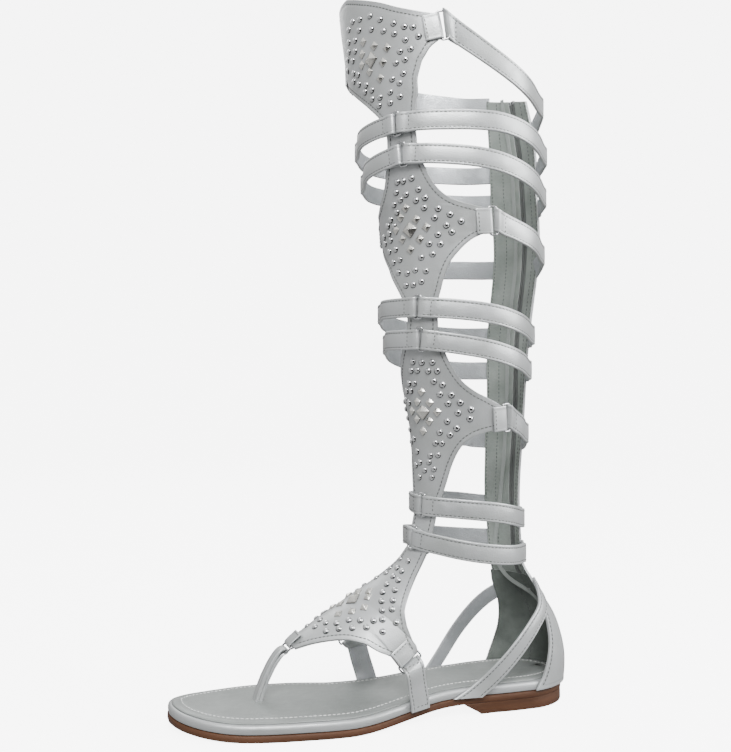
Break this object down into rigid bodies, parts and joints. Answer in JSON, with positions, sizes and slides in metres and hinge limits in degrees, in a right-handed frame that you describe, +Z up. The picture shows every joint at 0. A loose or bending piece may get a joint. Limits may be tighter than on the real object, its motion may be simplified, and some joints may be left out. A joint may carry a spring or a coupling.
{
  "type": "gladiator sandal",
  "caption": "Knee-high flat gladiator sandal for the left foot: studded shin panels, ringed straps round an open shaft, toe post and a zip up the back.",
  "frame": {"origin": "middle of the heel's flat underside, on the ground", "axes": "+X to the toe, +Y to the outer side of the left foot, +Z up the shaft"},
  "size_m": [0.2476, 0.124, 0.4276],
  "materials": {
    "silver_leather": "pearly metallic silver, fine grain",
    "footbed": "matte grey",
    "sole_rubber": "satin brown",
    "heel_stack": "satin brown",
    "chrome": "polished",
    "zip_tape": "woven grey",
    "zip_teeth": "dull silver"
  },
  "bodies": {
    "sandal": {"outsole": "sole_rubber", "heel": "heel_stack", "platform": "silver_leather", "insole": "footbed", "upper": "silver_leather", "tab_outer": "silver_leather", "tab_inner": "silver_leather", "toe_post": "silver_leather", "ring_ankle": "chrome", "ring_low": "chrome", "ring_middle_low": "chrome", "ring_middle_high": "chrome", "ring_high_low": "chrome", "ring_high": "chrome", "ring_wing_low_outer": "chrome", "ring_wing_low_inner": "chrome", "ring_wing_middle_outer": "chrome", "ring_wing_middle_inner": "chrome", "ring_wing_high_outer": "chrome", "ring_wing_high_inner": "chrome", "ring_vamp_outer": "chrome", "ring_vamp_inner": "chrome", "ring_toe": "chrome", "zip_tape": "zip_tape", "zip_teeth": "zip_teeth", "zip_slider": "chrome"},
    "zip_pull": {"zip_pull": "chrome"}
  },
  "joints": [
    {"name": "pull_swing", "type": "hinge", "parent": "sandal", "child": "zip_pull", "pos_m": [-0.01336, -0.0195, 0.37982], "axis": [-0.3004, 0.9497, 0.0882], "range_deg": [0, 160]}
  ]
}
